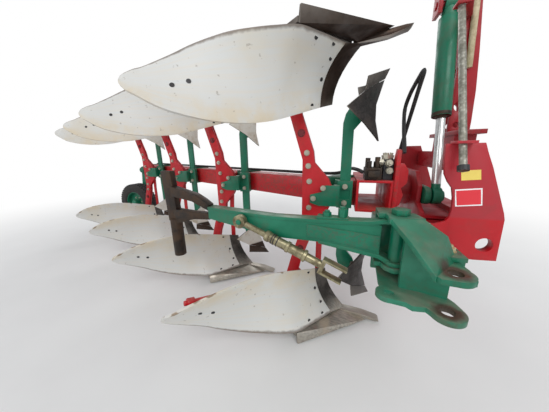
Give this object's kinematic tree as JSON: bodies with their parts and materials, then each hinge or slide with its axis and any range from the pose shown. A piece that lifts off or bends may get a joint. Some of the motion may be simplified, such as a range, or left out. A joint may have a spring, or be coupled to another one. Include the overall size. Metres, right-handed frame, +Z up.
{
  "type": "mounted reversible mouldboard plough",
  "caption": "Mounted reversible plough: headstock with mast and turnover cylinder, oblique beam with mirrored mouldboard bodies, skimmers, press arm and swinging depth wheel.",
  "frame": {"origin": "middle of the plough's footprint on the ground, in the plane of the lower share edges", "axes": "+X in the direction of travel, +Y to the left, +Z up"},
  "size_m": [4.3489, 2.4274, 1.995],
  "materials": {
    "red_paint": "worn gloss",
    "green_paint": "gloss",
    "cream_plastic": "satin",
    "worn_steel": "worn, lightly rusted",
    "dark_steel": "worn",
    "zinc": "yellow zinc",
    "chrome": "polished",
    "rubber": "matt",
    "hose_rubber": "matt"
  },
  "bodies": {
    "headstock": {"headstock_frame": "red_paint", "mast": "red_paint", "mast_head": "red_paint", "mast_tube": "zinc", "mast_lath": "cream_plastic"},
    "plough_frame": {"turnover_shaft": "green_paint", "front_frame": "red_paint", "main_beam": "red_paint", "leg_1": "red_paint", "leg_2": "red_paint", "leg_3": "red_paint", "leg_4": "red_paint", "mouldboard_lower_1": "cream_plastic", "mouldboard_lower_2": "cream_plastic", "mouldboard_lower_3": "cream_plastic", "mouldboard_lower_4": "cream_plastic", "mouldboard_upper_1": "cream_plastic", "mouldboard_upper_2": "cream_plastic", "mouldboard_upper_3": "cream_plastic", "mouldboard_upper_4": "cream_plastic", "share_lower_1": "worn_steel", "share_lower_2": "worn_steel", "share_lower_3": "worn_steel", "share_lower_4": "worn_steel", "share_upper_1": "worn_steel", "share_upper_2": "worn_steel", "share_upper_3": "worn_steel", "share_upper_4": "worn_steel", "skim_stem_1": "green_paint", "skim_stem_2": "green_paint", "skim_stem_3": "green_paint", "skim_stem_4": "green_paint", "skim_blades_1": "cream_plastic", "skim_blades_2": "cream_plastic", "skim_blades_3": "cream_plastic", "skim_blades_4": "cream_plastic", "press_bracket": "green_paint", "hydraulic_valve": "dark_steel", "hose_beam": "hose_rubber", "hose_loop": "hose_rubber", "wheel_bracket": "green_paint"},
    "barrel": {"cylinder_barrel": "green_paint"},
    "rod": {"cylinder_rod": "chrome"},
    "press_arm": {"press_arm": "green_paint", "press_catch": "dark_steel", "turnbuckle": "zinc"},
    "wheel_arm": {"wheel_arm": "green_paint"},
    "wheel": {"wheel_rim": "green_paint", "wheel_tyre": "rubber"}
  },
  "joints": [
    {"name": "turnover", "type": "hinge", "parent": "headstock", "child": "plough_frame", "pos_m": [1.8205, -0.19789, 0.85], "axis": [1, 0, 0], "range_deg": [-180, 0]},
    {"name": "cylinder_swing", "type": "hinge", "parent": "headstock", "child": "barrel", "pos_m": [1.9505, -0.19789, 1.9], "axis": [1, 0, 0], "range_deg": [0, 24.76]},
    {"name": "cylinder_slide", "type": "slide", "parent": "barrel", "child": "rod", "axis": [0, 0.214, 0.9768], "range_m": [0, 0.255]},
    {"name": "press_arm_swing", "type": "hinge", "parent": "plough_frame", "child": "press_arm", "pos_m": [1.6825, -0.83789, 0.7], "axis": [0, 0, 1], "range_deg": [0, 40]},
    {"name": "wheel_arm_swing", "type": "hinge", "parent": "plough_frame", "child": "wheel_arm", "pos_m": [-1.7945, 1.03911, 0.85], "axis": [0, 1, 0], "range_deg": [0, 163.74]},
    {"name": "wheel_spin", "type": "hinge", "parent": "wheel_arm", "child": "wheel", "pos_m": [-1.8695, 0.89711, 0.325], "axis": [0, 1, 0], "continuous": true}
  ],
  "couplings": [
    {"joint": "cylinder_swing", "follows": "turnover", "ratio": -0.13728}
  ]
}
